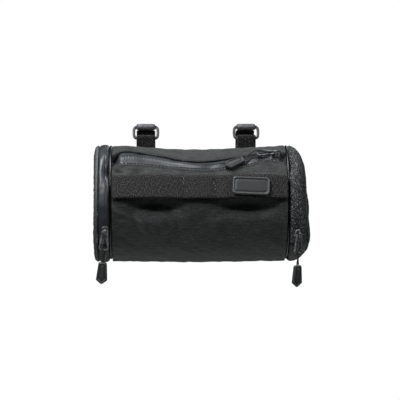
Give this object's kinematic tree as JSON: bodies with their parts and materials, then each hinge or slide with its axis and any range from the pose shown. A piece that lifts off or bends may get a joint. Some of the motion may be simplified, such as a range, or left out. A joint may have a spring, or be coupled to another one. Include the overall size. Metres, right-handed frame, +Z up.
{
  "type": "bicycle handlebar bag",
  "caption": "Barrel-shaped cloth bag that hangs in front of a handlebar on hook-and-loop straps, with a zipped top, zipped ends, webbing loops and a bare badge.",
  "frame": {"origin": "on the handlebar's axis, midway between the two straps", "axes": "+X along the handlebar, towards the badge's side, +Z up, and the bag's front faces -Y"},
  "size_m": [0.2228, 0.1423, 0.161],
  "materials": {
    "body_cloth": "coated woven nylon, charcoal black",
    "coated_tape": "satin coated zip tape, blue black",
    "side_tape": "matt woven zip tape, black",
    "band_webbing": "woven loop webbing, warm black",
    "loop_strap": "fuzzy loop strap, black",
    "seam_trim": "woven binding tape, black",
    "ring_plastic": "moulded acetal, dark grey",
    "zip_metal": "black lacquered zinc",
    "pull_cord": "braided polyester cord, black",
    "moulded_rubber": "moulded soft rubber, dark grey"
  },
  "bodies": {
    "root": {"body_shell": "body_cloth", "top_zip_tape": "coated_tape", "left_side_zip": "coated_tape", "right_side_zip": "side_tape", "left_gusset": "body_cloth", "right_gusset": "body_cloth", "left_piping": "seam_trim", "right_piping": "seam_trim", "left_binding": "seam_trim", "right_binding": "seam_trim", "left_end_panel": "body_cloth", "right_end_panel": "body_cloth", "front_band": "band_webbing", "back_webbing": "band_webbing", "badge": "moulded_rubber", "left_strap": "loop_strap", "right_strap": "loop_strap", "left_ring": "ring_plastic", "right_ring": "ring_plastic", "left_pull_slider": "zip_metal", "left_pull_puller": "zip_metal", "left_pull_cord": "pull_cord", "left_pull_tab": "moulded_rubber", "right_pull_slider": "zip_metal", "right_pull_puller": "zip_metal", "right_pull_cord": "pull_cord", "right_pull_tab": "moulded_rubber", "top_pull_slider": "zip_metal", "top_pull_puller": "zip_metal", "top_pull_cord": "pull_cord", "top_pull_tab": "moulded_rubber"}
  },
  "joints": []
}
